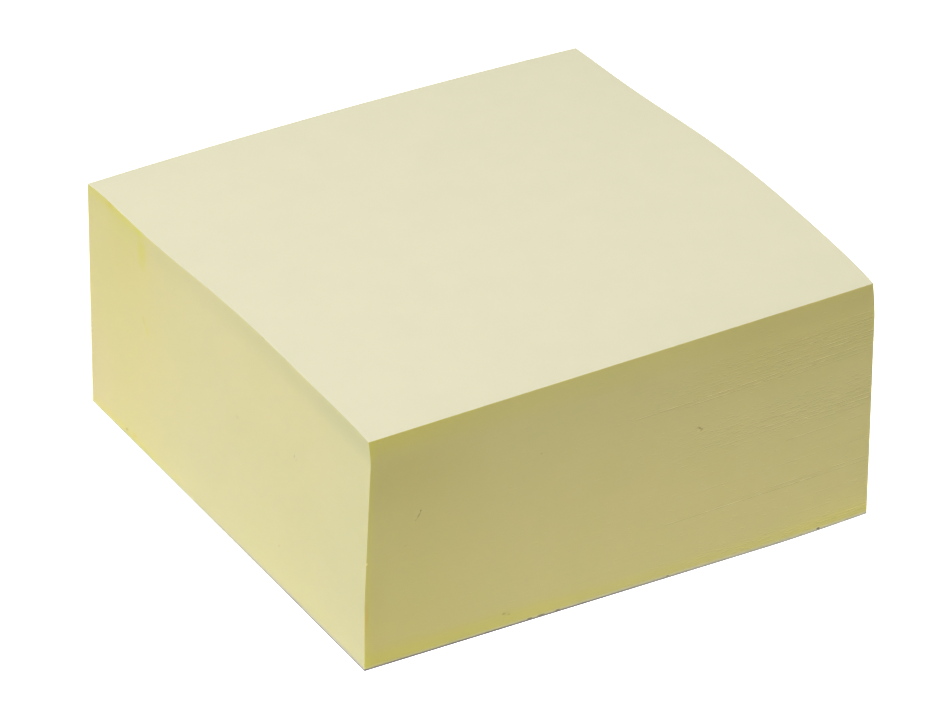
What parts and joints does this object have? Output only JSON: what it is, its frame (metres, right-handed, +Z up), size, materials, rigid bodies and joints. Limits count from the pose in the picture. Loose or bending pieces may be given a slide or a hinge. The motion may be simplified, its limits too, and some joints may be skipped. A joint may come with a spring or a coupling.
{
  "type": "sticky note pad",
  "caption": "Thick square block of pale yellow self-stick notes, glued along its back edge and loose at the front, on a thin backing sheet.",
  "frame": {"origin": "on the table, under the middle of the backing sheet", "axes": "+Z up through the stack, +Y towards the glued back edge, -Y out of the free front edge, +X along the free edge to the right of someone who faces it"},
  "size_m": [0.076, 0.0766, 0.0375],
  "materials": {
    "note_paper": "uncoated pale yellow paper, cut edges a little deeper in colour",
    "backing_paper": "uncoated grey release paper"
  },
  "bodies": {
    "root": {"note_stack": "note_paper", "backing_sheet": "backing_paper"}
  },
  "joints": []
}
